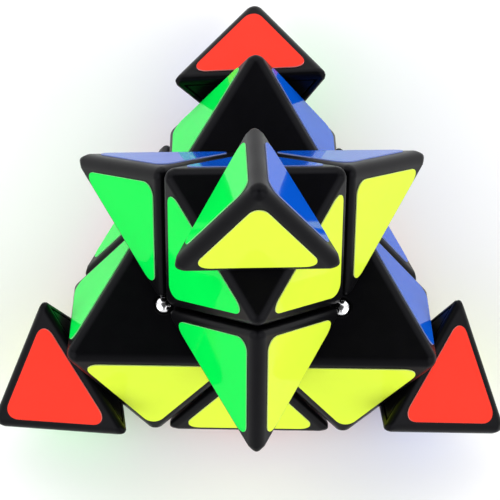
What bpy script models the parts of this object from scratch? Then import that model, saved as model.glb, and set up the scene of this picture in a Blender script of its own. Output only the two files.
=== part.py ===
"""Pyramid twisty puzzle: four corners that turn on a four-armed core, with steel ball detents.

Lengths are in metres and angles in degrees until they are used. The origin is the centre of
the core. +Z is the axis of the top corner, and +Y points towards the rear corner. Every piece
is modelled where it sits in the solved pyramid, and empties at the origin turn the top layer
and the four tips to the state that the puzzle is kept in.
"""

import math

import bmesh
import bpy
from mathutils import Matrix, Vector

MM = 0.001

# The pyramid, before its ridges are rounded.
EDGE_LENGTH = 98 * MM
INRADIUS = EDGE_LENGTH / math.sqrt(24)  # centre to a face; a corner is three times as far
LAYER_CUT = 6.28 * MM  # centre to the plane that each corner's layer turns on
GAP = 0.6 * MM  # between the layers, and between the pieces of one layer
TIP_GAP = 0.3 * MM  # between a tip and its axial
AXIAL_FACE = LAYER_CUT - GAP / 2
EDGE_FACE = LAYER_CUT + GAP / 2
AXIAL_TOP = 2 * INRADIUS - AXIAL_FACE  # where an axial's planes meet four to a corner
AXIAL_BOTTOM = INRADIUS - 2 * AXIAL_FACE
TIP_FACE = AXIAL_TOP + TIP_GAP

# How far each rounding reaches across the flat faces beside it.
RIDGE_ROUNDING = 2.6 * MM
TIP_RIM_ROUNDING = 1.5 * MM
EDGE_RIM_ROUNDING = 1.7 * MM
AXIAL_ROUNDING = 1.3 * MM
ROUNDING_STEPS = 2

# The state that the puzzle is kept in: turns about each corner's outward axis.
LAYER_TURN = 61.6
TIP_TURNS = {"top": -59.7, "rear": 173.8, "left": 169.9, "right": 176.5}

# The core, and the shell around it that the edges' feet run in.
CORE_RADIUS = 9.0 * MM
ARM_RADIUS = 4.0 * MM
ARM_END = 12.5 * MM
SCREW_HOLE_RADIUS = 1.6 * MM
SCREW_HOLE_END = 4.5 * MM
FOOT_INNER = 9.4 * MM
FOOT_OUTER = 14.8 * MM
FOOT_FACE = 3.6 * MM  # how near the centre a foot comes along its own two axes
FOOT_HALF_WIDTH = 7.5 * MM
CAVITY_RADIUS = 15.2 * MM

# What an axial holds along its own axis, as distances from the centre.
BOSS_RADIUS = 6.2 * MM
BOSS_END = ARM_END + 0.3 * MM
FLOOR_TOP = 15.0 * MM
FLOOR_HOLE_RADIUS = 2.1 * MM
WELL_RADIUS = 4.7 * MM
SHANK_RADIUS = 1.3 * MM
SHANK_END = 5.0 * MM
WASHER_BOTTOM = 20.3 * MM
WASHER_TOP = 20.9 * MM
WASHER_RADIUS = 4.0 * MM
HEAD_BOTTOM = 21.2 * MM
HEAD_TOP = 23.0 * MM
HEAD_RADIUS = 3.4 * MM
RECESS_WIDTH = 0.9 * MM
RECESS_LENGTH = 4.4 * MM
RECESS_DEPTH = 1.1 * MM
TENSION_WIRE = 0.35 * MM
TENSION_COIL_RADIUS = 3.2 * MM
TENSION_TURNS = 4

# The snap-in base of each tip and the hollow above it.
TIP_WALL = 1.8 * MM
BASE_GAP = 0.3 * MM
BASE_THICKNESS = 1.6 * MM
STEM_RADIUS = 4.2 * MM
STEM_BORE_RADIUS = 2.6 * MM
STEM_END = 24.0 * MM
STEM_BORE_TOP = 33.0 * MM

# A ball detent, by the height on its axial's axis that it is level with, and then as depths
# below the axial's inner face.
DETENT_HEIGHT = 19.2 * MM
BALL_RADIUS = 2.0 * MM
BALL_DEPTH = 1.6 * MM  # to the ball's centre, so that the ball stands 0.4 mm proud
LIP_THICKNESS = 0.3 * MM
LIP_RADIUS = 1.75 * MM
POCKET_RADIUS = 2.2 * MM
POCKET_DEPTH = 6.1 * MM
DIMPLE_RADIUS = 2.9 * MM
BALL_SPRING_TOP = 4.1 * MM
BALL_SPRING_BOTTOM = 5.8 * MM
BALL_SPRING_WIRE = 0.2 * MM
BALL_SPRING_RADIUS = 1.7 * MM
BALL_SPRING_TURNS = 2

CORNER_TILT = math.acos(-1 / 3)


def corner_axis(azimuth):
    """Outward axis of a lower corner, at this compass angle about +Z."""
    turn = math.radians(azimuth)
    level = math.sin(CORNER_TILT)
    return Vector((level * math.cos(turn), level * math.sin(turn), math.cos(CORNER_TILT)))


AXES = {
    "top": Vector((0, 0, 1)),
    "rear": corner_axis(90),
    "left": corner_axis(210),
    "right": corner_axis(330),
}
EDGES = {
    "edge_green_blue": ("top", "rear"),
    "edge_green_yellow": ("top", "left"),
    "edge_blue_yellow": ("top", "right"),
    "edge_green_red": ("rear", "left"),
    "edge_blue_red": ("rear", "right"),
    "edge_yellow_red": ("left", "right"),
}

BLACK_PLASTIC = ((0.006, 0.006, 0.007), 0.28, 0.0)
INNER_PLASTIC = ((0.012, 0.012, 0.014), 0.45, 0.0)
BALL_STEEL = ((0.82, 0.82, 0.84), 0.12, 1.0)
SPRING_STEEL = ((0.55, 0.56, 0.58), 0.3, 1.0)
ZINC_PLATE = ((0.66, 0.68, 0.7), 0.26, 1.0)


def pair_frame(first, second):
    """Matrix whose columns are two axes' bisector, their difference and the normal to both."""
    along = (AXES[first] + AXES[second]).normalized()
    across = (AXES[first] - AXES[second]).normalized()
    return Matrix((along, across, along.cross(across))).transposed()


def placement(first, second):
    """The pyramid's own rotation that takes the top axis to first and the rear axis to second."""
    turn = pair_frame(first, second) @ pair_frame("top", "rear").transposed()
    return turn.to_4x4()


def next_corner(corner):
    """Some other corner, the same one each time."""
    return next(name for name in AXES if name != corner)


def neighbours(corner):
    return [name for name in AXES if name != corner]


def new_object(name, mesh):
    made = bpy.data.objects.new(name, mesh)
    bpy.context.scene.collection.objects.link(made)
    return made


def mesh_from(shape, name):
    """A mesh datablock from a bmesh, which is freed."""
    mesh = bpy.data.meshes.new(name)
    shape.to_mesh(mesh)
    shape.free()
    return mesh


def solid_inside(planes):
    """The convex bmesh inside planes, each given as its outward normal and its distance."""
    solid = bmesh.new()
    bmesh.ops.create_cube(solid, size=3 * EDGE_LENGTH)
    for normal, distance in planes:
        cut = bmesh.ops.bisect_plane(
            solid,
            geom=solid.verts[:] + solid.edges[:] + solid.faces[:],
            plane_co=normal * distance,
            plane_no=normal,
            clear_outer=True,
        )
        rim = [item for item in cut["geom_cut"] if isinstance(item, bmesh.types.BMEdge)]
        bmesh.ops.edgeloop_fill(solid, edges=rim)
    bmesh.ops.remove_doubles(solid, verts=solid.verts, dist=0.02 * MM)
    bmesh.ops.dissolve_degenerate(solid, edges=solid.edges, dist=0.02 * MM)
    bmesh.ops.recalc_face_normals(solid, faces=solid.faces)
    return solid


def is_outer(face):
    """Whether a face lies on one of the pyramid's four outer faces."""
    middle = face.calc_center_median()
    return any(abs(middle.dot(axis) + INRADIUS) < 0.01 * MM for axis in AXES.values())


def rounded(name, planes, ridge, rim):
    """The convex piece inside planes, with its ridges and its other edges rounded."""
    solid = solid_inside(planes)
    weight = solid.edges.layers.float.new("bevel_weight_edge")
    widest = max(ridge, rim)
    for edge in solid.edges:
        on_ridge = all(is_outer(face) for face in edge.link_faces)
        edge[weight] = (ridge if on_ridge else rim) / widest
    piece = new_object(name, mesh_from(solid, name))
    bevel = piece.modifiers.new("rounding", "BEVEL")
    bevel.limit_method = "WEIGHT"
    bevel.width = widest
    bevel.segments = ROUNDING_STEPS
    bevel.use_clamp_overlap = False
    return piece


def cylinder(name, radius, bottom, top, sides, tip_radius=None):
    """A turned solid about +Z, straight unless it is given another radius at its top."""
    shape = bmesh.new()
    bmesh.ops.create_cone(
        shape,
        cap_ends=True,
        segments=sides,
        radius1=radius,
        radius2=radius if tip_radius is None else tip_radius,
        depth=top - bottom,
        matrix=Matrix.Translation((0, 0, (top + bottom) / 2)),
    )
    return new_object(name, mesh_from(shape, name))


def ball(name, radius, around=16, up=10):
    shape = bmesh.new()
    bmesh.ops.create_uvsphere(shape, u_segments=around, v_segments=up, radius=radius)
    return new_object(name, mesh_from(shape, name))


def box(name, size, centre):
    shape = bmesh.new()
    bmesh.ops.create_cube(shape, matrix=Matrix.Translation(centre) @ Matrix.Diagonal((*size, 1)))
    return new_object(name, mesh_from(shape, name))


def combine(piece, operation, *tools):
    """Joins, cuts or trims a piece with helper solids, which stay out of the render."""
    for tool in tools:
        tool.hide_render = True
        tool.display_type = "WIRE"
        step = piece.modifiers.new(tool.name, "BOOLEAN")
        step.operation = operation
        step.solver = "EXACT"
        step.object = tool


def baked(piece):
    """The finished mesh of a piece, with the piece and its helper solids removed."""
    bpy.context.view_layer.update()
    graph = bpy.context.evaluated_depsgraph_get()
    mesh = bpy.data.meshes.new_from_object(piece.evaluated_get(graph))
    mesh.name = piece.name
    helpers = [step.object for step in piece.modifiers if step.type == "BOOLEAN"]
    for leftover in [piece, *helpers]:
        bpy.data.objects.remove(leftover)
    mesh.shade_smooth()
    mesh.set_sharp_from_angle(angle=math.radians(40))
    return mesh


def material(name, finish):
    color, roughness, metallic = finish
    made = bpy.data.materials.new(name)
    made.use_nodes = True
    shader = made.node_tree.nodes["Principled BSDF"]
    shader.inputs["Base Color"].default_value = (*color, 1)
    shader.inputs["Roughness"].default_value = roughness
    shader.inputs["Metallic"].default_value = metallic
    return made


def place(name, mesh, finish, parent, turn=None, at=(0, 0, 0)):
    """Puts a piece in the pyramid, under the empty that it turns with."""
    copy = mesh.copy()
    copy.materials.clear()
    copy.materials.append(material(name, finish))
    piece = new_object(name, copy)
    piece.parent = parent
    rotation = turn or Matrix.Identity(4)
    piece.matrix_local = Matrix.Translation(at) @ rotation
    return piece


def facing_up(direction):
    """Rotation that takes +Z to a direction."""
    return direction.to_track_quat("Z", "Y").to_matrix().to_4x4()


def detent_frame():
    """Where the top axial's inner face towards the rear has its ball, with +Z out of the face."""
    normal = AXES["rear"]
    level = Vector((0, 0, DETENT_HEIGHT))
    middle = level + normal * (AXIAL_FACE - level.dot(normal))
    return Matrix.Translation(middle) @ facing_up(normal)


def turned_about_z(step):
    return Matrix.Rotation(math.radians(120 * step), 4, "Z")


def tip_mesh():
    """Hollow corner cap, open where its base snaps in."""
    outer = [(-AXES[name], INRADIUS) for name in neighbours("top")]
    inner = [(normal, distance - TIP_WALL) for normal, distance in outer]
    down = -AXES["top"]
    cap = rounded("tip", [*outer, (down, -TIP_FACE)], RIDGE_ROUNDING, TIP_RIM_ROUNDING)
    hollow = solid_inside([*inner, (down, -(TIP_FACE - MM))])
    combine(cap, "DIFFERENCE", new_object("tip_hollow", mesh_from(hollow, "tip_hollow")))
    return baked(cap)


def tip_base_mesh():
    """Triangular base of a tip, with the hollow stem that runs in the axial's well."""
    sides = [(-AXES[name], INRADIUS - TIP_WALL - BASE_GAP) for name in neighbours("top")]
    faces = [(AXES["top"], TIP_FACE + BASE_THICKNESS), (-AXES["top"], -TIP_FACE)]
    shape = solid_inside(sides + faces)
    base = new_object("tip_base", mesh_from(shape, "tip_base"))
    plate_middle = TIP_FACE + BASE_THICKNESS / 2
    combine(base, "UNION", cylinder("stem", STEM_RADIUS, STEM_END, plate_middle, 18))
    bore = cylinder("stem_bore", STEM_BORE_RADIUS, STEM_END - MM, STEM_BORE_TOP, 14)
    combine(base, "DIFFERENCE", bore)
    return baked(base)


def axial_mesh():
    """Eight-sided middle of a corner layer: well, boss, foot cavity and three ball pockets."""
    up = AXES["top"]
    outer = [(-AXES[name], INRADIUS) for name in neighbours("top")]
    inner = [(AXES[name], AXIAL_FACE) for name in neighbours("top")]
    planes = [*outer, *inner, (up, AXIAL_TOP), (-up, -AXIAL_BOTTOM)]
    axial = rounded("axial", planes, AXIAL_ROUNDING, AXIAL_ROUNDING)
    combine(axial, "DIFFERENCE", ball("foot_cavity", CAVITY_RADIUS, 24, 16))
    combine(axial, "UNION", cylinder("boss", BOSS_RADIUS, BOSS_END, CAVITY_RADIUS + 2 * MM, 18))
    well = cylinder("well", WELL_RADIUS, FLOOR_TOP, AXIAL_TOP + MM, 18)
    floor_hole = cylinder("floor_hole", FLOOR_HOLE_RADIUS, BOSS_END - MM, FLOOR_TOP + MM, 12)
    combine(axial, "DIFFERENCE", well, floor_hole)
    for step in range(3):
        frame = turned_about_z(step) @ detent_frame()
        pocket = cylinder(f"pocket_{step}", POCKET_RADIUS, -POCKET_DEPTH, -LIP_THICKNESS, 12)
        mouth = cylinder(f"mouth_{step}", LIP_RADIUS, -LIP_THICKNESS - MM / 2, MM, 12)
        pocket.matrix_world = frame
        mouth.matrix_world = frame
        combine(axial, "DIFFERENCE", pocket, mouth)
    return baked(axial)


def foot_solid():
    """The part of an edge's foot between its two faces and its two ends, before it is turned."""
    sideways = (AXES["left"] - AXES["right"]).normalized()
    top, rear = AXES["top"], AXES["rear"]
    planes = [(-top, -FOOT_FACE), (-rear, -FOOT_FACE)]
    planes += [(sideways, FOOT_HALF_WIDTH), (-sideways, FOOT_HALF_WIDTH)]
    planes.append(((top + rear).normalized(), FOOT_OUTER + MM))
    return solid_inside(planes)


def edge_mesh():
    """Edge between the top and rear corners, with the foot that hooks under both axials."""
    outer = [(-AXES["left"], INRADIUS), (-AXES["right"], INRADIUS)]
    inner = [(-AXES["top"], -EDGE_FACE), (-AXES["rear"], -EDGE_FACE)]
    edge = rounded("edge", outer + inner, RIDGE_ROUNDING, EDGE_RIM_ROUNDING)
    foot = new_object("foot", mesh_from(foot_solid(), "foot"))
    combine(foot, "INTERSECT", ball("foot_outside", FOOT_OUTER, 24, 16))
    combine(edge, "UNION", new_object("foot_rounded", baked(foot)))
    combine(edge, "DIFFERENCE", ball("foot_inside", FOOT_INNER, 20, 12))
    for first, second in [("top", "rear"), ("rear", "top")]:
        dimple = ball(f"dimple_{first}", DIMPLE_RADIUS, 12, 8)
        centre = detent_frame() @ Matrix.Translation((0, 0, -BALL_DEPTH))
        dimple.matrix_world = placement(first, second) @ centre
        combine(edge, "DIFFERENCE", dimple)
    return baked(edge)


def core_mesh():
    """Ball with four arms, each bored for its screw."""
    core = ball("core", CORE_RADIUS, 16, 10)
    for name in AXES:
        turn = placement(name, next_corner(name))
        arm = cylinder(f"arm_{name}", ARM_RADIUS, 0, ARM_END, 12)
        arm.matrix_world = turn
        combine(core, "UNION", arm)
    for name in AXES:
        hole = cylinder(f"hole_{name}", SCREW_HOLE_RADIUS, SCREW_HOLE_END, ARM_END + MM, 10)
        hole.matrix_world = placement(name, next_corner(name))
        combine(core, "DIFFERENCE", hole)
    return baked(core)


def screw_mesh():
    """Pan-head screw with a cross recess, its thread drawn as a plain shank."""
    screw = cylinder("screw", SHANK_RADIUS, SHANK_END, HEAD_BOTTOM + 0.2 * MM, 12)
    head = cylinder("head", HEAD_RADIUS, HEAD_BOTTOM, HEAD_TOP, 16, HEAD_RADIUS - 0.7 * MM)
    combine(screw, "UNION", head)
    centre = (0, 0, HEAD_TOP)
    depth = 2 * RECESS_DEPTH
    combine(screw, "DIFFERENCE", box("slot_x", (RECESS_LENGTH, RECESS_WIDTH, depth), centre))
    combine(screw, "DIFFERENCE", box("slot_y", (RECESS_WIDTH, RECESS_LENGTH, depth), centre))
    return baked(screw)


def washer_mesh():
    washer = cylinder("washer", WASHER_RADIUS, WASHER_BOTTOM, WASHER_TOP, 16)
    hole = cylinder("hole", SCREW_HOLE_RADIUS, WASHER_BOTTOM - MM, WASHER_TOP + MM, 12)
    combine(washer, "DIFFERENCE", hole)
    return baked(washer)


def coil_mesh(name, radius, wire, bottom, top, turns, steps_per_turn, sides):
    """Helical spring about +Z between two heights, closed by flat ends."""
    rise = top - bottom - 2 * wire
    steps = turns * steps_per_turn
    shape = bmesh.new()
    rings = []
    for step in range(steps + 1):
        angle = 2 * math.pi * step / steps_per_turn
        outward = Vector((math.cos(angle), math.sin(angle), 0))
        middle = outward * radius + Vector((0, 0, bottom + wire + rise * step / steps))
        ring = []
        for side in range(sides):
            around = 2 * math.pi * side / sides
            offset = outward * math.cos(around) + Vector((0, 0, math.sin(around)))
            ring.append(shape.verts.new(middle + offset * wire))
        rings.append(ring)
    for lower, upper in zip(rings, rings[1:]):
        for side in range(sides):
            after = (side + 1) % sides
            shape.faces.new((lower[side], upper[side], upper[after], lower[after]))
    shape.faces.new(rings[0])
    shape.faces.new(reversed(rings[-1]))
    bmesh.ops.recalc_face_normals(shape, faces=shape.faces)
    mesh = mesh_from(shape, name)
    mesh.shade_smooth()
    return mesh


def ball_mesh():
    shape = bmesh.new()
    bmesh.ops.create_icosphere(shape, subdivisions=2, radius=BALL_RADIUS)
    mesh = mesh_from(shape, "ball")
    mesh.shade_smooth()
    return mesh


def turning_empty(name, axis, angle, parent=None):
    """An empty at the core's centre that turns what is under it about one corner's axis."""
    pivot = new_object(name, None)
    pivot.parent = parent
    pivot.matrix_local = Matrix.Rotation(math.radians(angle), 4, axis)
    return pivot


def build_corner(corner, layer, meshes):
    """The axial, tip, screw, springs and balls of one corner, on the empty of its layer."""
    turn = placement(corner, next_corner(corner))
    tip = turning_empty(f"turn_tip_{corner}", AXES[corner], TIP_TURNS[corner], layer)
    place(f"axial_{corner}", meshes["axial"], BLACK_PLASTIC, layer, turn)
    place(f"tip_{corner}", meshes["tip"], BLACK_PLASTIC, tip, turn)
    place(f"tip_base_{corner}", meshes["tip_base"], BLACK_PLASTIC, tip, turn)
    place(f"screw_{corner}", meshes["screw"], ZINC_PLATE, None, turn)
    place(f"washer_{corner}", meshes["washer"], ZINC_PLATE, None, turn)
    place(f"tension_spring_{corner}", meshes["tension_spring"], SPRING_STEEL, None, turn)
    for other in neighbours(corner):
        detent = placement(corner, other) @ detent_frame()
        centre = detent @ Vector((0, 0, -BALL_DEPTH))
        steady = detent.to_quaternion().to_matrix().to_4x4()
        place(f"ball_{corner}_{other}", meshes["ball"], BALL_STEEL, layer, steady, centre)
        spring_name = f"ball_spring_{corner}_{other}"
        middle = detent.to_translation()
        place(spring_name, meshes["ball_spring"], SPRING_STEEL, layer, steady, middle)


def build():
    for leftover in list(bpy.data.objects):
        bpy.data.objects.remove(leftover)
    meshes = {
        "tip": tip_mesh(),
        "tip_base": tip_base_mesh(),
        "axial": axial_mesh(),
        "edge": edge_mesh(),
        "core": core_mesh(),
        "screw": screw_mesh(),
        "washer": washer_mesh(),
        "ball": ball_mesh(),
        "tension_spring": coil_mesh(
            "tension_spring",
            TENSION_COIL_RADIUS,
            TENSION_WIRE,
            FLOOR_TOP + BASE_GAP,
            WASHER_BOTTOM - BASE_GAP,
            TENSION_TURNS,
            steps_per_turn=9,
            sides=4,
        ),
        "ball_spring": coil_mesh(
            "ball_spring",
            BALL_SPRING_RADIUS,
            BALL_SPRING_WIRE,
            -BALL_SPRING_BOTTOM,
            -BALL_SPRING_TOP,
            BALL_SPRING_TURNS,
            steps_per_turn=7,
            sides=3,
        ),
    }
    top_layer = turning_empty("turn_top_layer", AXES["top"], LAYER_TURN)
    place("core", meshes["core"], INNER_PLASTIC, None)
    for corner in AXES:
        build_corner(corner, top_layer if corner == "top" else None, meshes)
    for name, (first, second) in EDGES.items():
        layer = top_layer if first == "top" else None
        place(name, meshes["edge"], BLACK_PLASTIC, layer, placement(first, second))


build()
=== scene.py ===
"""Pyramid twisty puzzle: the finished look of every piece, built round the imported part.

Lengths are in metres and angles in degrees until they are used. The origin is the centre of the
core, +Z is the axis of the top corner, and +Y points towards the rear corner. Each kind of piece
is modelled once, where it sits at the top corner of the solved pyramid, and every copy of it is
turned from there to its own corner and then to the state that the puzzle is kept in.
"""

import logging
import math
from collections.abc import Callable, Iterator
from contextlib import contextmanager
from dataclasses import dataclass, field
from enum import Enum

import bmesh
import bpy
from mathutils import Matrix, Vector


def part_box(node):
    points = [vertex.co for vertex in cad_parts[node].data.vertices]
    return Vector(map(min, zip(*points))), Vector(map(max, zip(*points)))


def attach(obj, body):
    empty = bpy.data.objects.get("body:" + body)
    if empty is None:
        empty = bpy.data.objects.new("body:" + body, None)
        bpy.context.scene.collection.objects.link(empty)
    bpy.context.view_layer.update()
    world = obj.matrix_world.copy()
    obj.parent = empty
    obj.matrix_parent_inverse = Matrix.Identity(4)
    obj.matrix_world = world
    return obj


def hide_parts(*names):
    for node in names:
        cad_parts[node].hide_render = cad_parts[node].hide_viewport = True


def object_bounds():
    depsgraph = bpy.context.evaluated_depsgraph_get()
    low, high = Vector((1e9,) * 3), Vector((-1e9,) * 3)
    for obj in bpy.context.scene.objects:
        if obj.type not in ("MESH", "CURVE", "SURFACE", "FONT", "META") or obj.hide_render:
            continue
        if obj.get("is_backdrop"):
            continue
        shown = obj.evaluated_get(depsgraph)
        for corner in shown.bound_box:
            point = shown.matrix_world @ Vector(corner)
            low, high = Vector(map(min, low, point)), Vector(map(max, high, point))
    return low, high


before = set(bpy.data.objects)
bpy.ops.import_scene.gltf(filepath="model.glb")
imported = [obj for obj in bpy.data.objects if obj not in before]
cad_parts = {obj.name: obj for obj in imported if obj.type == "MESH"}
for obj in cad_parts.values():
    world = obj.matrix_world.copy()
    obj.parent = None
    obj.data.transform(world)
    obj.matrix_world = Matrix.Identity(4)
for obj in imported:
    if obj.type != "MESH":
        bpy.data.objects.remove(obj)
CAD_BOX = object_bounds()

MM = 0.001
NEAR = 0.02 * MM  # how far off a plane a point still counts as on it
LEAN = math.sqrt(8) / 3  # sine of the angle between two corners' axes, or between two sides
PAST = 1 * MM  # how far a cutting solid reaches past what it cuts

logging.basicConfig(level=logging.INFO, format="%(message)s")
log = logging.getLogger("puzzle")

Colour = tuple[float, float, float]
Test = Callable[[list[Vector]], bool]

# A Mix node has a set of sockets for each data type. These are its factor and its two colours.
COLOUR_MIX_INPUTS = (0, 6, 7)
COLOUR_MIX_OUTPUT = 2


class Corner(Enum):
    """The four corners. A lower corner's value is the compass angle of its axis about +Z."""

    TOP = None
    REAR = 90.0
    LEFT = 210.0
    RIGHT = 330.0

    @property
    def axis(self) -> Vector:
        """Outward unit axis of this corner."""
        if self is Corner.TOP:
            return Vector((0, 0, 1))
        turn = math.radians(self.value)
        return Vector((LEAN * math.cos(turn), LEAN * math.sin(turn), -1 / 3))

    @property
    def label(self) -> str:
        """This corner's part of a piece's name."""
        return self.name.lower()

    @property
    def others(self) -> list["Corner"]:
        """The other three corners, in order."""
        return [corner for corner in Corner if corner is not self]

    @property
    def layer(self) -> str:
        """The body that this corner's axial rides on."""
        return "top_layer" if self is Corner.TOP else "base"


class Side(Enum):
    """The four coloured sides, each with the corner that it lies opposite."""

    GREEN = Corner.RIGHT
    BLUE = Corner.LEFT
    YELLOW = Corner.REAR
    RED = Corner.TOP

    @property
    def label(self) -> str:
        """This side's part of a sticker's name."""
        return self.name.lower()


EDGES: dict[str, tuple[Corner, Corner]] = {
    "edge_green_blue": (Corner.TOP, Corner.REAR),
    "edge_green_yellow": (Corner.TOP, Corner.LEFT),
    "edge_blue_yellow": (Corner.TOP, Corner.RIGHT),
    "edge_green_red": (Corner.REAR, Corner.LEFT),
    "edge_blue_red": (Corner.REAR, Corner.RIGHT),
    "edge_yellow_red": (Corner.LEFT, Corner.RIGHT),
}


@dataclass(frozen=True)
class Pyramid:
    """Planes that every piece is cut from, as distances from the core along the four axes."""

    edge_length: float = 98 * MM
    layer_cut: float = 6.28 * MM
    gap: float = 0.6 * MM
    tip_gap: float = 0.3 * MM
    detent_height: float = 19.2 * MM

    @property
    def inradius(self) -> float:
        """Distance from the core to each coloured side."""
        return self.edge_length / math.sqrt(24)

    @property
    def axial_face(self) -> float:
        """Distance to an axial's faces that look into the puzzle, along the other corners' axes."""
        return self.layer_cut - self.gap / 2

    @property
    def edge_face(self) -> float:
        """Distance to an edge's inner faces, along its own two corners' axes."""
        return self.layer_cut + self.gap / 2

    @property
    def axial_top(self) -> float:
        """Distance to an axial's face under the tip."""
        return 2 * self.inradius - self.axial_face

    @property
    def axial_bottom(self) -> float:
        """Distance to an axial's face towards the core."""
        return self.inradius - 2 * self.axial_face

    @property
    def tip_face(self) -> float:
        """Distance to a tip's flat base."""
        return self.axial_top + self.tip_gap

    @staticmethod
    def pair_frame(first: Corner, second: Corner) -> Matrix:
        """Frame of two corners: their bisector, their difference and the normal to both.

        Args:
            first: The corner that the difference points to.
            second: The corner that the difference points from.

        Returns:
            The rotation whose columns are those three unit vectors.
        """
        along = (first.axis + second.axis).normalized()
        across = (first.axis - second.axis).normalized()
        return Matrix((along, across, along.cross(across))).transposed()

    def placement(self, first: Corner, second: Corner) -> Matrix:
        """The pyramid's own rotation that takes the top axis to one corner and the rear to another.

        Args:
            first: Where the top corner goes.
            second: Where the rear corner goes.

        Returns:
            The 4x4 rotation.
        """
        start = self.pair_frame(Corner.TOP, Corner.REAR)
        return (self.pair_frame(first, second) @ start.transposed()).to_4x4()

    def at_corner(self, corner: Corner) -> Matrix:
        """The rotation that takes a piece modelled at the top corner to another corner."""
        return self.placement(corner, corner.others[0])

    def detent(self) -> Matrix:
        """The ball's place on the top axial's face towards the rear, with +Z out of the face."""
        normal = Corner.REAR.axis
        level = Vector((0, 0, self.detent_height))
        middle = level + normal * (self.axial_face - level.dot(normal))
        facing = normal.to_track_quat("Z", "Y").to_matrix().to_4x4()
        return Matrix.Translation(middle) @ facing


@dataclass(frozen=True)
class StoredState:
    """How the puzzle is kept: the turn of its top layer and of each tip within its layer."""

    layer_turn: float = 61.6
    tip_turns: dict[Corner, float] = field(
        default_factory=lambda: {
            Corner.TOP: -59.7,
            Corner.REAR: 173.8,
            Corner.LEFT: 169.9,
            Corner.RIGHT: 176.5,
        }
    )

    def layer(self, corner: Corner) -> Matrix:
        """The turn of the layer that a corner's axial, or an edge next to it, belongs to."""
        angle = self.layer_turn if corner is Corner.TOP else 0.0
        return Matrix.Rotation(math.radians(angle), 4, "Z")

    def tip(self, corner: Corner) -> Matrix:
        """The turn of a corner's tip, with that of its layer."""
        own = Matrix.Rotation(math.radians(self.tip_turns[corner]), 4, corner.axis)
        return self.layer(corner) @ own


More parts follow.
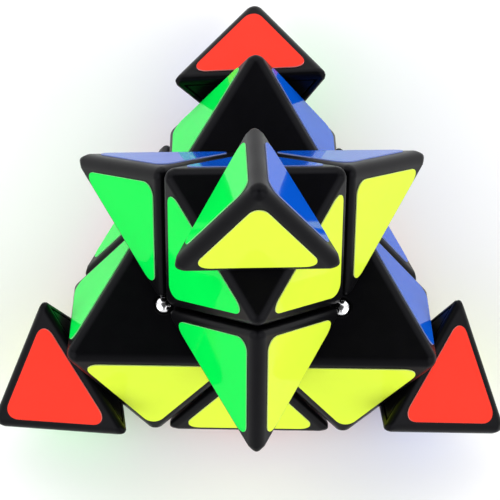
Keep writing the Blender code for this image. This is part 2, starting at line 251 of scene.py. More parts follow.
class Bench:
    """Modelling steps, each done on one piece with Blender's own operators."""

    MERGE = 0.002 * MM
    CUT_MERGE = 0.001 * MM
    FLAT_AREA = 6 * MM * MM

    @staticmethod
    def pick(piece: bpy.types.Object) -> None:
        """Makes a piece the only one that is selected, and the active one."""
        bpy.ops.object.select_all(action="DESELECT")
        piece.select_set(True)
        bpy.context.view_layer.objects.active = piece

    @staticmethod
    def started(name: str) -> bpy.types.Object:
        """Names the primitive that was just added, and moves its place into its mesh."""
        piece = bpy.context.active_object
        piece.name = name
        piece.data.name = name
        bpy.ops.object.transform_apply(location=True, rotation=True, scale=True)
        return piece

    @staticmethod
    @contextmanager
    def editing(piece: bpy.types.Object, selected: bool = False) -> Iterator[None]:
        """Edit mode on one piece.

        Args:
            piece: The piece to edit.
            selected: Whether its whole mesh starts selected, or none of it.
        """
        Bench.pick(piece)
        bpy.ops.object.mode_set(mode="EDIT")
        bpy.ops.mesh.select_all(action="SELECT" if selected else "DESELECT")
        yield
        bpy.ops.object.mode_set(mode="OBJECT")

    @staticmethod
    def select(piece: bpy.types.Object, kind: str, wanted: Test) -> None:
        """Selects what passes a test on the piece in edit mode.

        Args:
            piece: The piece.
            kind: EDGE or FACE.
            wanted: The test, which is given the points of an edge or a face.
        """
        bpy.ops.mesh.select_mode(type=kind)
        shape = bmesh.from_edit_mesh(piece.data)
        for item in shape.edges if kind == "EDGE" else shape.faces:
            item.select_set(wanted([vertex.co for vertex in item.verts]))
        bmesh.update_edit_mesh(piece.data)

    @staticmethod
    def on_plane(normal: Vector, distance: float) -> Test:
        """A test for the edges, or the faces, that lie in one plane."""
        return lambda points: all(abs(point.dot(normal) - distance) < NEAR for point in points)

    @staticmethod
    def upright(rise: float) -> Test:
        """A test for the edges that climb by more than this."""
        return lambda points: abs(points[0].z - points[1].z) > rise

    @staticmethod
    def tetrahedron(name: str, inradius: float, centre: Vector) -> bpy.types.Object:
        """Adds a regular tetrahedron that stands the way the pyramid does.

        Args:
            name: The piece's name.
            inradius: Distance from its centre to its faces.
            centre: Its centre.

        Returns:
            The new object, with its place in its mesh.
        """
        bpy.ops.mesh.primitive_cone_add(
            vertices=3,
            radius1=math.sqrt(8) * inradius,
            radius2=0,
            depth=4 * inradius,
            location=centre + Vector((0, 0, inradius)),
        )
        return Bench.started(name)

    @staticmethod
    def cylinder(name: str, radius: float, bottom: float, top: float, sides: int = 48,
                 top_radius: float | None = None) -> bpy.types.Object:
        """Adds a turned solid about +Z.

        Args:
            name: The piece's name.
            radius: Its radius, at its bottom if it tapers.
            bottom: Its lowest height.
            top: Its greatest height.
            sides: How many flats it is made of.
            top_radius: Its radius at its top, where that differs.

        Returns:
            The new object, with its place in its mesh.
        """
        bpy.ops.mesh.primitive_cone_add(
            vertices=sides,
            radius1=radius,
            radius2=radius if top_radius is None else top_radius,
            depth=top - bottom,
            location=(0, 0, (top + bottom) / 2),
        )
        return Bench.started(name)

    @staticmethod
    def sphere(name: str, radius: float, around: int = 72) -> bpy.types.Object:
        """Adds a round solid at the origin."""
        bpy.ops.mesh.primitive_uv_sphere_add(segments=around, ring_count=around // 2, radius=radius)
        return Bench.started(name)

    @staticmethod
    def slice(piece: bpy.types.Object, normal: Vector, distance: float) -> None:
        """Cuts away all of a piece that is further along a direction than a distance."""
        with Bench.editing(piece, selected=True):
            bpy.ops.mesh.bisect(
                plane_co=normal * distance,
                plane_no=normal,
                use_fill=True,
                clear_outer=True,
                threshold=Bench.CUT_MERGE,
            )

    @staticmethod
    def bevel(piece: bpy.types.Object, wanted: Test, reach: float, steps: int) -> None:
        """Rounds the edges that pass a test.

        Args:
            piece: The piece to round.
            wanted: The test for its edges.
            reach: How far the rounding reaches across the faces beside an edge.
            steps: How many faces make up the rounding.
        """
        with Bench.editing(piece):
            Bench.select(piece, "EDGE", wanted)
            bpy.ops.mesh.bevel(
                offset_type="OFFSET",
                offset=reach,
                segments=steps,
                profile=0.5,
                affect="EDGES",
                clamp_overlap=False,
                loop_slide=True,
            )

    @staticmethod
    def round_all(piece: bpy.types.Object, is_rim: Test, ridge: float, rim: float,
                  steps: int) -> None:
        """Rounds every edge at once, so that roundings of two sizes meet in smooth corners.

        Args:
            piece: The piece to round.
            is_rim: The test for the edges that get the smaller rounding.
            ridge: How far the rounding of a ridge reaches across the faces beside it.
            rim: The same for a rim.
            steps: How many faces make up a rounding.
        """
        mesh = piece.data
        weights = mesh.attributes.new("bevel_weight_edge", "FLOAT", "EDGE")
        for edge in mesh.edges:
            points = [mesh.vertices[index].co for index in edge.vertices]
            weights.data[edge.index].value = (rim if is_rim(points) else ridge) / ridge
        Bench.apply(
            piece, "BEVEL", limit_method="WEIGHT", width=ridge, segments=steps,
            use_clamp_overlap=False,
        )

    @staticmethod
    def apply(piece: bpy.types.Object, kind: str, **settings: object) -> None:
        """Adds a modifier of one kind with these settings, and applies it."""
        Bench.pick(piece)
        step = piece.modifiers.new(kind.lower(), kind)
        for name, value in settings.items():
            setattr(step, name, value)
        bpy.ops.object.modifier_apply(modifier=step.name)

    @staticmethod
    def combine(piece: bpy.types.Object, operation: str, *tools: bpy.types.Object) -> None:
        """Joins a piece with helper solids, or cuts it with them, and removes them."""
        for tool in tools:
            Bench.apply(piece, "BOOLEAN", operation=operation, solver="EXACT", object=tool)
            bpy.data.objects.remove(tool)

    @staticmethod
    def moved(piece: bpy.types.Object, place: Matrix) -> bpy.types.Object:
        """Moves a piece, keeps its place in its mesh, and returns it."""
        Bench.pick(piece)
        piece.matrix_world = place
        bpy.ops.object.transform_apply(location=True, rotation=True, scale=True)
        return piece

    @staticmethod
    def shade(piece: bpy.types.Object, sharp_from: float = 35.0) -> bpy.types.Object:
        """Finishes a master: clean joins, smooth roundings, flat flats, and wear for its finish.

        Args:
            piece: The master.
            sharp_from: The angle from which an edge stays sharp.

        Returns:
            The master.
        """
        with Bench.editing(piece, selected=True):
            bpy.ops.mesh.remove_doubles(threshold=Bench.MERGE)
            bpy.ops.mesh.dissolve_degenerate(threshold=Bench.MERGE)
        faces = [face for face in piece.data.polygons if face.area > Bench.FLAT_AREA]
        on_flat = {index for face in faces for index in face.vertices}
        Bench.mark(piece, "rounding", lambda vertex: vertex.index not in on_flat)
        Bench.smooth(piece, sharp_from)
        return piece

    @staticmethod
    def smooth(piece: bpy.types.Object, sharp_from: float) -> None:
        """Shades a piece smooth up to an angle, with its large faces kept flat."""
        Bench.pick(piece)
        bpy.ops.object.shade_smooth_by_angle(angle=math.radians(sharp_from))
        Bench.apply(piece, "WEIGHTED_NORMAL", keep_sharp=True, weight=90)

    @staticmethod
    def mark(piece: bpy.types.Object, name: str,
             wanted: Callable[[bpy.types.MeshVertex], bool]) -> None:
        """Stores an attribute that is 1 at the vertices that pass a test, and 0 elsewhere."""
        values = piece.data.attributes.new(name, "FLOAT", "POINT")
        for vertex in piece.data.vertices:
            values.data[vertex.index].value = float(wanted(vertex))

    @staticmethod
    def copy(master: bpy.types.Object, name: str, place: Matrix,
             finish: bpy.types.Material) -> bpy.types.Object:
        """A copy of a master, with its own mesh and its place in it.

        Args:
            master: The finished master.
            name: The copy's name.
            place: Where the copy goes from where the master is.
            finish: The copy's material.

        Returns:
            The copy.
        """
        Bench.pick(master)
        bpy.ops.object.duplicate(linked=False)
        piece = bpy.context.active_object
        piece.name = name
        piece.data.name = name
        piece.data.materials.clear()
        piece.data.materials.append(finish)
        return Bench.moved(piece, place)


@dataclass
class Signal:
    """A shader socket of one graph, on which Python's operators add Math nodes."""

    graph: "Graph"
    socket: bpy.types.NodeSocket

    def math(self, operation: str, first: "Signal | float", second: "Signal | float") -> "Signal":
        """A Math node on two values.

        Args:
            operation: What it does.
            first: Its first value.
            second: Its second value.

        Returns:
            Its result.
        """
        node = self.graph.add("ShaderNodeMath", {"operation": operation}, {0: first, 1: second})
        return Signal(self.graph, node.outputs[0])

    def __add__(self, other: "Signal | float") -> "Signal":
        """This value plus another."""
        return self.math("ADD", self, other)

    __radd__ = __add__

    def __mul__(self, other: "Signal | float") -> "Signal":
        """This value times another."""
        return self.math("MULTIPLY", self, other)

    __rmul__ = __mul__


class Graph:
    """The node tree of one material, ending in one Principled BSDF."""

    def __init__(self, name: str) -> None:
        """Makes a material with an empty surface.

        Args:
            name: The material's name.
        """
        self.material = bpy.data.materials.new(name)
        self.material.use_nodes = True
        self.tree = self.material.node_tree
        self.surface = self.tree.nodes["Principled BSDF"]
        self.place = self.add("ShaderNodeTexCoord").outputs["Object"]

    def add(self, kind: str, settings: dict[str, object] | None = None,
            inputs: dict[int | str, object] | None = None) -> bpy.types.Node:
        """Adds a node.

        Args:
            kind: The node's type.
            settings: Its properties, or the stops of its ramp, set first.
            inputs: The value, signal or socket of each of its inputs.

        Returns:
            The node.
        """
        node = self.tree.nodes.new(kind)
        for name, value in (settings or {}).items():
            if name == "stops":
                self.set_stops(node.color_ramp, value)
            else:
                setattr(node, name, value)
        for name, value in (inputs or {}).items():
            self.feed(node.inputs[name], value)
        return node

    def feed(self, socket: bpy.types.NodeSocket, value: object) -> None:
        """Links a signal or a socket to an input, or sets its value."""
        if isinstance(value, Signal):
            value = value.socket
        if isinstance(value, bpy.types.NodeSocket):
            self.tree.links.new(value, socket)
        else:
            socket.default_value = value

    @staticmethod
    def set_stops(ramp: bpy.types.ColorRamp, stops: list[tuple[float, float]]) -> None:
        """Gives a ramp its stops, each a position and a grey value."""
        while len(ramp.elements) < len(stops):
            ramp.elements.new(1.0)
        for element, (position, grey) in zip(ramp.elements, stops):
            element.position = position
            element.color = (grey, grey, grey, 1)

    def noise(self, size: float, detail: float = 2.0, stretch: Colour = (1, 1, 1)) -> Signal:
        """Noise from 0 to 1.

        Args:
            size: The length over which it changes.
            detail: How many finer layers it has.
            stretch: How much finer it is along each axis.

        Returns:
            Its value.
        """
        place = self.add("ShaderNodeMapping", {}, {"Vector": self.place, "Scale": stretch})
        made = self.add(
            "ShaderNodeTexNoise",
            {"noise_dimensions": "3D"},
            {"Vector": place.outputs[0], "Scale": 1 / size, "Detail": detail},
        )
        return Signal(self, made.outputs["Fac"])

    def ramp(self, value: Signal, stops: list[tuple[float, float]]) -> Signal:
        """A value passed through a ramp of grey stops."""
        made = self.add("ShaderNodeValToRGB", {"stops": stops}, {"Fac": value})
        return Signal(self, made.outputs["Color"])

    def attribute(self, name: str) -> Signal:
        """A number stored on the mesh."""
        made = self.add("ShaderNodeAttribute", {"attribute_name": name})
        return Signal(self, made.outputs["Fac"])

    def mix(self, factor: Signal, first: Colour | bpy.types.NodeSocket,
            second: Colour) -> bpy.types.NodeSocket:
        """A colour between two, by a factor.

        Args:
            factor: 0 for the first and 1 for the second.
            first: The first colour, or the socket that gives it.
            second: The second colour.

        Returns:
            The socket of the mixed colour.
        """
        made = self.add("ShaderNodeMix", {"data_type": "RGBA"})
        start = (*first, 1) if isinstance(first, tuple) else first
        for socket, value in zip(COLOUR_MIX_INPUTS, (factor, start, (*second, 1))):
            self.feed(made.inputs[socket], value)
        return made.outputs[COLOUR_MIX_OUTPUT]

    def bump(self, height: Signal, depth: float) -> bpy.types.NodeSocket:
        """A bumped normal.

        Args:
            height: The relief, from 0 to 1.
            depth: How deep it is.

        Returns:
            The socket of the normal.
        """
        inputs = {"Height": height, "Distance": depth, "Strength": 1.0}
        return self.add("ShaderNodeBump", {}, inputs).outputs["Normal"]

    def dress(self, values: dict[str, object]) -> bpy.types.Material:
        """Feeds the surface's sockets, and returns the material."""
        for name, value in values.items():
            self.feed(self.surface.inputs[name], value)
        return self.material


@dataclass(frozen=True)
class MouldedPlastic:
    """Black moulded plastic: smooth with a faint grain, and polished by use on its roundings."""

    name: str
    dark: Colour = (0.0016, 0.0016, 0.002)
    light: Colour = (0.0032, 0.0031, 0.0038)
    roughness: float = 0.28
    tone_size: float = 2.6 * MM
    grain_size: float = 0.22 * MM
    grain_depth: float = 0.0012 * MM
    smudge_size: float = 9 * MM
    scratch_size: float = 1.1 * MM
    scratch_stretch: Colour = (6.0, 0.35, 2.2)
    mark_dulls: float = 0.05
    wear_dulls: float = 0.06

    def material(self) -> bpy.types.Material:
        """Builds the material."""
        graph = Graph(self.name)
        smudge = graph.ramp(graph.noise(self.smudge_size, 4.0), [(0.42, 0.0), (0.66, 1.0)])
        lines = graph.noise(self.scratch_size, 1.0, self.scratch_stretch)
        scratch = graph.ramp(lines, [(0.68, 0.0), (0.74, 1.0)])
        marks = smudge * self.mark_dulls + scratch * self.mark_dulls
        wear = graph.attribute("rounding") * self.wear_dulls
        return graph.dress({
            "Base Color": graph.mix(graph.noise(self.tone_size), self.dark, self.light),
            "Roughness": marks + wear + self.roughness,
            "IOR": 1.5,
            "Specular IOR Level": 0.07,
            "Specular Tint": (0.9, 0.9, 1.0, 1.0),
            "Normal": graph.bump(graph.noise(self.grain_size, 3.0), self.grain_depth),
        })


@dataclass(frozen=True)
class StickerFilm:
    """Coloured vinyl under a clear gloss layer, with a paler cut edge."""

    side: Side
    roughness: float = 0.03
    mottle_size: float = 6 * MM
    dust_size: float = 0.5 * MM
    dust_dulls: float = 0.05
    haze_size: float = 5 * MM
    haze_dulls: float = 0.03
    peel_size: float = 2.4 * MM
    peel_depth: float = 0.0022 * MM

    COLOURS = {
        Side.GREEN: (0.001, 0.76, 0.075),
        Side.BLUE: (0.001, 0.085, 0.55),
        Side.YELLOW: (0.66, 0.84, 0.05),
        Side.RED: (0.86, 0.04, 0.022),
    }

    def material(self) -> bpy.types.Material:
        """Builds the material."""
        graph = Graph(f"sticker_film_{self.side.label}")
        colour = self.COLOURS[self.side]
        pale = tuple(0.7 * part + 0.25 for part in colour)
        deep = tuple(0.93 * part for part in colour)
        film = graph.mix(graph.noise(self.mottle_size, 3.0), deep, colour)
        dust = graph.ramp(graph.noise(self.dust_size), [(0.7, 0.0), (0.8, 1.0)])
        haze = graph.noise(self.haze_size)
        return graph.dress({
            "Base Color": graph.mix(graph.attribute("cut_edge"), film, pale),
            "Roughness": dust * self.dust_dulls + haze * self.haze_dulls + self.roughness,
            "IOR": 1.3,
            "Specular IOR Level": 0.07,
            "Normal": graph.bump(graph.noise(self.peel_size, 1.0), self.peel_depth),
        })


@dataclass(frozen=True)
class BareMetal:
    """Bare or plated metal, with fine marks along one direction."""

    name: str
    colour: Colour
    roughness: float
    mark_depth: float = 0.001 * MM
    tone_size: float = 0.9 * MM
    mark_size: float = 0.35 * MM
    mark_stretch: Colour = (1.0, 1.0, 5.0)
    mark_dulls: float = 0.1

    def material(self) -> bpy.types.Material:
        """Builds the material."""
        graph = Graph(self.name)
        marks = graph.noise(self.mark_size, 2.0, self.mark_stretch)
        darker = tuple(0.86 * part for part in self.colour)
        return graph.dress({
            "Base Color": graph.mix(graph.noise(self.tone_size, 3.0), darker, self.colour),
            "Metallic": 1.0,
            "Roughness": marks * self.mark_dulls + self.roughness,
            "Normal": graph.bump(marks, self.mark_depth),
        })


class Finishes:
    """Every material of the puzzle, each built once."""

    def __init__(self) -> None:
        """Builds the materials."""
        self.plastic = MouldedPlastic("black_plastic").material()
        inner = MouldedPlastic("inner_plastic", roughness=0.4, grain_depth=0.004 * MM)
        self.inner = inner.material()
        self.ball = BareMetal("ball_steel", (0.9, 0.9, 0.92), 0.13, 0.0002 * MM).material()
        self.spring = BareMetal("spring_steel", (0.55, 0.56, 0.59), 0.24).material()
        self.zinc = BareMetal("zinc_plate", (0.68, 0.7, 0.72), 0.2).material()
        self.film = {side: StickerFilm(side).material() for side in Side}


@dataclass
class Workshop:
    """What every sub-assembly needs: the planes, the stored state and the finishes."""

    pyramid: Pyramid
    state: StoredState
    finishes: Finishes

    def stand_for(self, master: bpy.types.Object, node: str, body: str, place: Matrix,
                  finish: bpy.types.Material) -> None:
        """Puts a copy of a master in a CAD node's place.

        Args:
            master: The finished master.
            node: The CAD node that the copy stands for.
            body: The body that it rides on.
            place: Where it goes.
            finish: Its material.
        """
        piece = Bench.copy(master, f"{node}_finished", place, finish)
        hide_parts(node)
        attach(piece, body)
        low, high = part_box(node)
        points = [vertex.co for vertex in piece.data.vertices]
        reach = max(
            max(abs(min(p[i] for p in points) - low[i]), abs(max(p[i] for p in points) - high[i]))
            for i in range(3)
        )
        log.info("%s on %s: %d faces, within %.2f mm of its node's box",
                 piece.name, body, len(piece.data.polygons), reach / MM)


@dataclass
class Tips:
    """The four corner caps, each a hollow tetrahedron closed by a snap-in base with a stem."""

    shop: Workshop
    ridge_rounding: float = 2.6 * MM
    rim_rounding: float = 1.5 * MM
    wall: float = 1.8 * MM
    hollow_share: float = 0.94
    base_gap: float = 0.3 * MM
    base_thickness: float = 1.6 * MM
    base_corner: float = 0.5 * MM
    base_rim: float = 0.15 * MM
    stem_radius: float = 4.2 * MM
    stem_bore: float = 2.6 * MM
    stem_end: float = 24 * MM
    stem_bore_top: float = 33 * MM

    def cap(self) -> bpy.types.Object:
        """Models the cap: a tetrahedron with round ridges, a round rim and a tapered hollow."""
        planes = self.shop.pyramid
        up = Corner.TOP.axis
        inradius = (3 * planes.inradius - planes.tip_face) / 4
        cap = Bench.tetrahedron("cap", inradius, up * (planes.tip_face + inradius))
        on_base = Bench.on_plane(up, planes.tip_face)
        Bench.round_all(cap, on_base, self.ridge_rounding, self.rim_rounding, 7)
        border = self.wall / LEAN - self.rim_rounding
        hollow_top = 3 * (planes.inradius - self.wall)
        depth = self.hollow_share * (hollow_top - planes.tip_face)
        narrowed = 1 - self.hollow_share
        with Bench.editing(cap):
            Bench.select(cap, "FACE", on_base)
            bpy.ops.mesh.inset(thickness=border)
            bpy.ops.mesh.extrude_region_move(TRANSFORM_OT_translate={"value": (0, 0, depth)})
            bpy.ops.transform.resize(
                value=(narrowed, narrowed, 1), center_override=(0, 0, planes.tip_face + depth)
            )
        return Bench.shade(cap)

    def base(self) -> bpy.types.Object:
        """Models the base: a plate that tapers with the cap's walls, with a bored stem."""
        planes = self.shop.pyramid
        side = planes.inradius - self.wall - self.base_gap
        top = planes.tip_face + self.base_thickness
        widths = [math.sqrt(2) / 2 * (3 * side - height) for height in (planes.tip_face, top)]
        base = Bench.cylinder("base", widths[0], planes.tip_face, top, 3, widths[1])
        Bench.bevel(base, Bench.upright(self.base_thickness / 2), self.base_corner, 4)
        Bench.bevel(base, Bench.on_plane(Corner.TOP.axis, planes.tip_face), self.base_rim, 2)
        middle = planes.tip_face + self.base_thickness / 2
        stem = Bench.cylinder("stem", self.stem_radius, self.stem_end, middle)
        Bench.combine(base, "UNION", stem)
        bore = Bench.cylinder("bore", self.stem_bore, self.stem_end - PAST, self.stem_bore_top)
        Bench.combine(base, "DIFFERENCE", bore)
        return Bench.shade(base)

    def build(self) -> None:
        """Makes the four tips."""
        cap, base = self.cap(), self.base()
        for corner in Corner:
            place = self.shop.state.tip(corner) @ self.shop.pyramid.at_corner(corner)
            body = f"tip_{corner.label}"
            plastic = self.shop.finishes.plastic
            self.shop.stand_for(cap, body, body, place, plastic)
            self.shop.stand_for(base, f"tip_base_{corner.label}", body, place, plastic)
        for master in (cap, base):
            bpy.data.objects.remove(master)


@dataclass
class Detents:
    """The twelve steel balls on springs, three to each axial."""

    shop: Workshop
    ball_radius: float = 2.0 * MM
    ball_depth: float = 1.6 * MM
    lip_thickness: float = 0.3 * MM
    lip_radius: float = 1.75 * MM
    lip_flare: float = 0.35 * MM
    lip_land: float = 0.05 * MM
    pocket_radius: float = 2.2 * MM
    pocket_depth: float = 6.1 * MM
    spring_top: float = 4.1 * MM
    spring_bottom: float = 5.8 * MM
    wire: float = 0.2 * MM
    spring_radius: float = 1.7 * MM
    spring_turns: int = 2

    def pocket_cutters(self, place: Matrix) -> list[bpy.types.Object]:
        """The solids that cut one pocket and its flared mouth into an axial."""
        below_lip = -self.lip_thickness
        pocket = Bench.cylinder("pocket", self.pocket_radius, -self.pocket_depth, below_lip)
        mouth = Bench.cylinder("mouth", self.lip_radius, below_lip - PAST / 2, PAST)
        flare = Bench.cylinder(
            "flare", self.lip_radius - self.lip_land, -self.lip_flare, self.lip_flare,
            top_radius=self.lip_radius + 2 * self.lip_flare,
        )
        return [Bench.moved(tool, place) for tool in (pocket, mouth, flare)]

    def ball(self) -> bpy.types.Object:
        """Models the ball: a cube divided and rounded, so that it has no poles."""
        bpy.ops.mesh.primitive_cube_add(size=2 * self.ball_radius)
        ball = Bench.started("ball")
        with Bench.editing(ball, selected=True):
            bpy.ops.mesh.subdivide(number_cuts=11)
            bpy.ops.transform.tosphere(value=1)
        for vertex in ball.data.vertices:
            vertex.co = vertex.co.normalized() * self.ball_radius
        return Bench.shade(ball)

    def build(self) -> None:
        """Makes the balls and their springs."""
        ball = self.ball()
        coil = Coil(self.spring_radius, self.wire, -self.spring_bottom, -self.spring_top,
                    self.spring_turns).model("ball_spring")
        for corner in Corner:
            for other in corner.others:
                seat = self.shop.pyramid.placement(corner, other) @ self.shop.pyramid.detent()
                place = self.shop.state.layer(corner) @ seat
                centre = place @ Matrix.Translation((0, 0, -self.ball_depth))
                name = f"{corner.label}_{other.label}"
                ball_node = f"ball_{name}"
                self.shop.stand_for(ball, ball_node, ball_node, centre, self.shop.finishes.ball)
                self.shop.stand_for(coil, f"ball_spring_{name}", corner.layer, place,
                                    self.shop.finishes.spring)
        for master in (ball, coil):
            bpy.data.objects.remove(master)


@dataclass
class Coil:
    """A helical spring about +Z."""

    radius: float
    wire: float
    bottom: float
    top: float
    turns: int
    wire_sides: int = 10
    steps: int = 28

    def model(self, name: str) -> bpy.types.Object:
        """Models the spring: a wire's section screwed up its axis, with its ends closed."""
        rise = self.top - self.bottom - 2 * self.wire
        bpy.ops.mesh.primitive_circle_add(
            vertices=self.wire_sides,
            radius=self.wire,
            location=(self.radius, 0, self.bottom + self.wire),
            rotation=(math.pi / 2, 0, 0),
        )
        coil = Bench.started(name)
        Bench.apply(
            coil, "SCREW", angle=2 * math.pi, screw_offset=rise / self.turns,
            iterations=self.turns, steps=self.steps, render_steps=self.steps,
            merge_threshold=NEAR / 2,
        )
        with Bench.editing(coil):
            bpy.ops.mesh.select_mode(type="EDGE")
            bpy.ops.mesh.select_non_manifold()
            bpy.ops.mesh.fill_holes(sides=0)
            bpy.ops.mesh.select_all(action="SELECT")
            bpy.ops.mesh.normals_make_consistent(inside=False)
        return Bench.shade(coil, 60.0)


@dataclass
class Axials:
    """The four eight-sided corner middles, each with its well, its foot cavity and its pockets."""

    shop: Workshop
    detents: Detents
    rounding: float = 1.3 * MM
    cavity_radius: float = 15.2 * MM
    boss_radius: float = 6.2 * MM
    boss_end: float = 12.8 * MM
    floor_top: float = 15 * MM
    floor_hole: float = 2.1 * MM
    well_radius: float = 4.7 * MM

    def block(self) -> bpy.types.Object:
        """Models the axial: a tetrahedron with its corners sliced off, rounded and then bored."""
        planes = self.shop.pyramid
        up = Corner.TOP.axis
        inradius = (3 * planes.inradius - planes.axial_bottom) / 4
        block = Bench.tetrahedron("block", inradius, up * (planes.axial_bottom + inradius))
        Bench.slice(block, up, planes.axial_top)
        for other in Corner.TOP.others:
            Bench.slice(block, other.axis, planes.axial_face)
        Bench.bevel(block, lambda points: True, self.rounding, 5)
        Bench.combine(block, "DIFFERENCE", Bench.sphere("cavity", self.cavity_radius))
        boss_top = self.cavity_radius + 2 * PAST
        Bench.combine(
            block, "UNION", Bench.cylinder("boss", self.boss_radius, self.boss_end, boss_top)
        )
        well = Bench.cylinder("well", self.well_radius, self.floor_top, planes.axial_top + PAST)
        hole = Bench.cylinder(
            "hole", self.floor_hole, self.boss_end - PAST, self.floor_top + PAST, 32
        )
        Bench.combine(block, "DIFFERENCE", well, hole)
        for turn in (0, 120, 240):
            place = Matrix.Rotation(math.radians(turn), 4, "Z") @ planes.detent()
            Bench.combine(block, "DIFFERENCE", *self.detents.pocket_cutters(place))
        return Bench.shade(block)

    def build(self) -> None:
        """Makes the four axials."""
        block = self.block()
        for corner in Corner:
            place = self.shop.state.layer(corner) @ self.shop.pyramid.at_corner(corner)
            node = f"axial_{corner.label}"
            self.shop.stand_for(block, node, corner.layer, place, self.shop.finishes.plastic)
        bpy.data.objects.remove(block)


@dataclass
class EdgePieces:
    """The six edges, each a tetrahedron with a round ridge and a foot that hooks under axials."""

    shop: Workshop
    ridge_rounding: float = 2.6 * MM
    rim_rounding: float = 1.7 * MM
    foot_inner: float = 9.4 * MM
    foot_outer: float = 14.8 * MM
    foot_face: float = 3.6 * MM
    foot_half_width: float = 7.5 * MM
    dimple_radius: float = 2.9 * MM
    dimple_depth: float = 1.6 * MM

    def foot(self) -> bpy.types.Object:
        """Models the foot: a ball sliced by the planes of its two faces and its two ends."""
        foot = Bench.sphere("foot", self.foot_outer)
        Bench.slice(foot, -Corner.TOP.axis, -self.foot_face)
        Bench.slice(foot, -Corner.REAR.axis, -self.foot_face)
        sideways = (Corner.LEFT.axis - Corner.RIGHT.axis).normalized()
        for direction in (sideways, -sideways):
            Bench.slice(foot, direction, self.foot_half_width)
        return foot

    def block(self) -> bpy.types.Object:
        """Models the edge between the top and the rear corner."""
        planes = self.shop.pyramid
        top, rear = Corner.TOP.axis, Corner.REAR.axis
        inradius = (planes.inradius - planes.edge_face) / 2
        reach = (planes.edge_face + inradius) / (1 + top.dot(rear))
        block = Bench.tetrahedron("block", inradius, (top + rear) * reach)
        inner = [Bench.on_plane(axis, planes.edge_face) for axis in (top, rear)]
        Bench.round_all(
            block, lambda points: any(test(points) for test in inner),
            self.ridge_rounding, self.rim_rounding, 7,
        )
        Bench.combine(block, "UNION", self.foot())
        Bench.combine(block, "DIFFERENCE", Bench.sphere("hollow", self.foot_inner))
        below = planes.detent() @ Matrix.Translation((0, 0, -self.dimple_depth))
        for first, second in [(Corner.TOP, Corner.REAR), (Corner.REAR, Corner.TOP)]:
            dimple = Bench.sphere("dimple", self.dimple_radius, 48)
            Bench.moved(dimple, planes.placement(first, second) @ below)
            Bench.combine(block, "DIFFERENCE", dimple)
        return Bench.shade(block)

    def build(self) -> None:
        """Makes the six edges."""
        block = self.block()
        for node, (first, second) in EDGES.items():
            place = self.shop.state.layer(first) @ self.shop.pyramid.placement(first, second)
            self.shop.stand_for(block, node, first.layer, place, self.shop.finishes.plastic)
        bpy.data.objects.remove(block)


@dataclass(frozen=True)
class StickerPlace:
    """Where one sticker goes, as the plane distances that bound its triangle."""

    name: str
    body: str
    side: Side
    turn: Matrix
    bounds: dict[Corner, float]  # the least distance along each axis, or the greatest if outward
    outward: bool

    def inset(self, inradius: float) -> float:
        """How far the triangle's middle is from each bound, along the bound's own axis."""
        sign = -1 if self.outward else 1
        return sign * (inradius - sum(self.bounds.values())) / 3


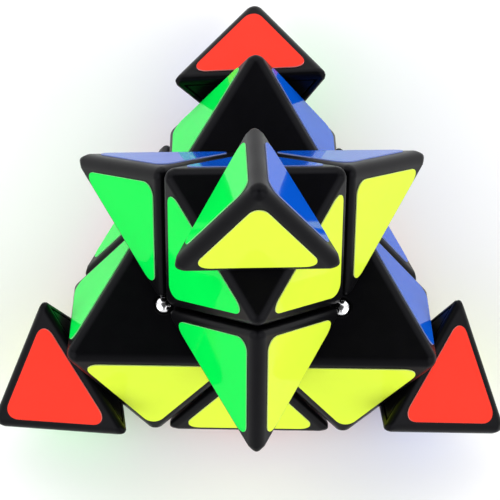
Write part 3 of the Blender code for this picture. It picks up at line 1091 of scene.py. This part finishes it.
@dataclass
class Stickers:
    """The thirty-six glossy stickers: a tip's, an axial's and an edge's own size of triangle."""

    shop: Workshop
    thickness: float = 0.2 * MM
    sunk: float = 0.02 * MM
    corner_radius: float = 2.0 * MM
    rim: float = 0.035 * MM
    tip_cut: float = 36.32 * MM
    tip_ridge: float = 17.34 * MM
    axial_cut: float = 32.71 * MM
    axial_layer: float = 4.15 * MM
    edge_cut: float = 8.41 * MM
    edge_ridge: float = 17.13 * MM

    def model(self, name: str, inradius: float) -> bpy.types.Object:
        """Models one size of sticker: a thin triangle with round corners and a fine rim.

        Args:
            name: The master's name.
            inradius: Distance from its middle to its sides.

        Returns:
            The master, centred on the origin with its adhesive side down and a corner to +Y.
        """
        film = Bench.cylinder(name, 2 * inradius, -self.sunk, self.thickness, 3)
        Bench.bevel(film, Bench.upright(self.thickness / 2), self.corner_radius * math.sqrt(3), 10)
        Bench.bevel(film, Bench.on_plane(Vector((0, 0, 1)), self.thickness), self.rim, 3)
        Bench.mark(film, "cut_edge", lambda vertex: vertex.co.z < self.thickness - NEAR / 4)
        Bench.smooth(film, 50)
        return film

    def places(self) -> dict[str, list[StickerPlace]]:
        """Lists every sticker, under the name of its size."""
        sizes: dict[str, list[StickerPlace]] = {"tip": [], "axial": [], "edge": []}
        state = self.shop.state
        for side in Side:
            corners = side.value.others
            for corner in corners:
                rest = [other for other in corners if other is not corner]
                label = corner.label
                sizes["tip"].append(StickerPlace(
                    f"{side.label}_sticker_tip_{label}", f"tip_{label}", side, state.tip(corner),
                    {corner: self.tip_cut, **{other: -self.tip_ridge for other in rest}}, False,
                ))
                sizes["axial"].append(StickerPlace(
                    f"{side.label}_sticker_axial_{label}", corner.layer, side, state.layer(corner),
                    {corner: self.axial_cut, **{other: self.axial_layer for other in rest}}, True,
                ))
            for node, (first, second) in EDGES.items():
                if side.value in (first, second):
                    continue
                third = next(other for other in corners if other not in (first, second))
                sizes["edge"].append(StickerPlace(
                    f"{side.label}_sticker_{node}", first.layer, side, state.layer(first),
                    {third: -self.edge_ridge, first: self.edge_cut, second: self.edge_cut}, False,
                ))
        return sizes

    def stick(self, master: bpy.types.Object, place: StickerPlace) -> None:
        """Puts one sticker on its side of the puzzle.

        Args:
            master: The sticker's size.
            place: Where it goes.
        """
        inset = place.inset(self.shop.pyramid.inradius)
        sign = -1 if place.outward else 1
        normal = -place.side.value.axis
        distances = {corner: bound + sign * inset for corner, bound in place.bounds.items()}
        # The four axes add up to nothing, so a point is 3/4 of its distances along them.
        distances[place.side.value] = -self.shop.pyramid.inradius
        middle = sum((corner.axis * far for corner, far in distances.items()), Vector()) * 0.75
        pointed = next(iter(place.bounds)).axis * sign
        up = (pointed - normal * pointed.dot(normal)).normalized()
        seat = Matrix((up.cross(normal), up, normal)).transposed().to_4x4()
        whole = place.turn @ Matrix.Translation(middle) @ seat
        piece = Bench.copy(master, place.name, whole, self.shop.finishes.film[place.side])
        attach(piece, place.body)
        log.info("%s on %s", piece.name, place.body)

    def build(self) -> None:
        """Makes and sticks all thirty-six."""
        for size, places in self.places().items():
            inset = places[0].inset(self.shop.pyramid.inradius)
            master = self.model(f"sticker_{size}", inset / LEAN)
            for place in places:
                self.stick(master, place)
            bpy.data.objects.remove(master)


@dataclass
class Drive:
    """What holds the puzzle together: the core, and each corner's screw, washer and spring."""

    shop: Workshop

    def dress(self) -> None:
        """Gives the carried-over pieces their finishes."""
        finishes = self.shop.finishes
        self.dress_node("core", finishes.inner)
        for corner in Corner:
            self.dress_node(f"screw_{corner.label}", finishes.zinc)
            self.dress_node(f"washer_{corner.label}", finishes.zinc)
            self.dress_node(f"tension_spring_{corner.label}", finishes.spring)

    @staticmethod
    def dress_node(node: str, finish: bpy.types.Material) -> None:
        """Gives a CAD node's own mesh a material."""
        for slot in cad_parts[node].material_slots:
            slot.material = finish
        log.info("%s keeps its mesh", node)


@dataclass
class Studio:
    """A white floor, soft boxes round the puzzle and a camera almost over the top corner."""

    floor_size: float = 6.0
    floor_tone_size: float = 80 * MM
    box_azimuths: tuple[float, ...] = (-60, 60, 150, -150)
    box_size: float = 1.3
    box_distance: float = 1.2
    near_power: float = 8.4
    far_power: float = 5.6
    box_elevation: float = 36.0
    wall_light: float = 1.0
    wall_top: float = 0.5
    ceiling_light: float = 0.06
    ceiling_edge: float = 0.9
    azimuth: float = -3.84
    elevation: float = 77.9
    roll: float = 4.68
    distance: float = 533 * MM
    aim: Vector = field(default_factory=lambda: Vector((-0.52, 2.25, 0)) * MM)
    lens: float = 213.8

    @staticmethod
    def towards(azimuth: float, elevation: float) -> Vector:
        """The direction at an azimuth, 0 for -Y and 90 for +X, and an elevation."""
        a, e = math.radians(azimuth), math.radians(elevation)
        return Vector((math.sin(a) * math.cos(e), -math.cos(a) * math.cos(e), math.sin(e)))

    def floor(self, height: float) -> None:
        """Adds the floor that the puzzle stands on.

        Args:
            height: The height of its surface.
        """
        bpy.ops.mesh.primitive_plane_add(size=self.floor_size, location=(0, 0, height))
        floor = Bench.started("floor")
        graph = Graph("floor_paint")
        tone = graph.noise(self.floor_tone_size)
        floor.data.materials.append(graph.dress({
            "Base Color": graph.mix(tone, (0.9, 0.9, 0.9), (0.92, 0.92, 0.92)),
            "Roughness": 0.8,
            "Specular IOR Level": 0.2,
        }))
        floor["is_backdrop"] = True

    def lights(self) -> None:
        """Hangs four soft boxes round the puzzle and a faint even light beyond them."""
        for number, azimuth in enumerate(self.box_azimuths):
            data = bpy.data.lights.new(f"soft_box_{number}", "AREA")
            data.shape = "SQUARE"
            data.size = self.box_size
            data.energy = self.near_power if abs(azimuth) < 90 else self.far_power
            lamp = bpy.data.objects.new(data.name, data)
            bpy.context.scene.collection.objects.link(lamp)
            back = self.towards(azimuth, self.box_elevation)
            lamp.location = back * self.box_distance
            lamp.rotation_euler = back.to_track_quat("Z", "Y").to_euler()
        self.room()

    def room(self) -> None:
        """Makes the pale walls of the room and its dark ceiling, as light from all round."""
        world = bpy.data.worlds.new("studio")
        world.use_nodes = True
        nodes, links = world.node_tree.nodes, world.node_tree.links
        direction = nodes.new("ShaderNodeTexCoord").outputs["Generated"]
        split = nodes.new("ShaderNodeSeparateXYZ")
        height = nodes.new("ShaderNodeMapRange")
        height.interpolation_type = "SMOOTHSTEP"
        height.inputs["From Min"].default_value = self.wall_top
        height.inputs["From Max"].default_value = self.ceiling_edge
        height.inputs["To Min"].default_value = self.wall_light
        height.inputs["To Max"].default_value = self.ceiling_light
        links.new(direction, split.inputs[0])
        links.new(split.outputs["Z"], height.inputs["Value"])
        links.new(height.outputs[0], nodes["Background"].inputs["Strength"])
        nodes["Background"].inputs["Color"].default_value = (1, 1, 1, 1)
        bpy.context.scene.world = world

    def camera(self) -> None:
        """Sets the camera up over the puzzle."""
        data = bpy.data.cameras.new("camera")
        data.lens = self.lens
        data.clip_start = 0.05
        camera = bpy.data.objects.new("camera", data)
        bpy.context.scene.collection.objects.link(camera)
        back = self.towards(self.azimuth, self.elevation)
        level = Vector((0, 0, 1)).cross(back).normalized()
        turn = Matrix((level, back.cross(level), back)).transposed().to_4x4()
        roll = Matrix.Rotation(math.radians(self.roll), 4, "Z")
        camera.matrix_world = Matrix.Translation(self.aim + back * self.distance) @ turn @ roll
        bpy.context.scene.camera = camera

    def build(self) -> None:
        """Sets up the whole studio."""
        self.floor(min(CAD_BOX[0].z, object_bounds()[0].z))
        self.lights()
        self.camera()
        bpy.context.scene.view_settings.view_transform = "Standard"


def main() -> None:
    """Builds every sub-assembly, then the studio."""
    shop = Workshop(Pyramid(), StoredState(), Finishes())
    detents = Detents(shop)
    Tips(shop).build()
    Axials(shop, detents).build()
    EdgePieces(shop).build()
    detents.build()
    Stickers(shop).build()
    Drive(shop).dress()
    Studio().build()


if __name__ == "__main__":
    main()
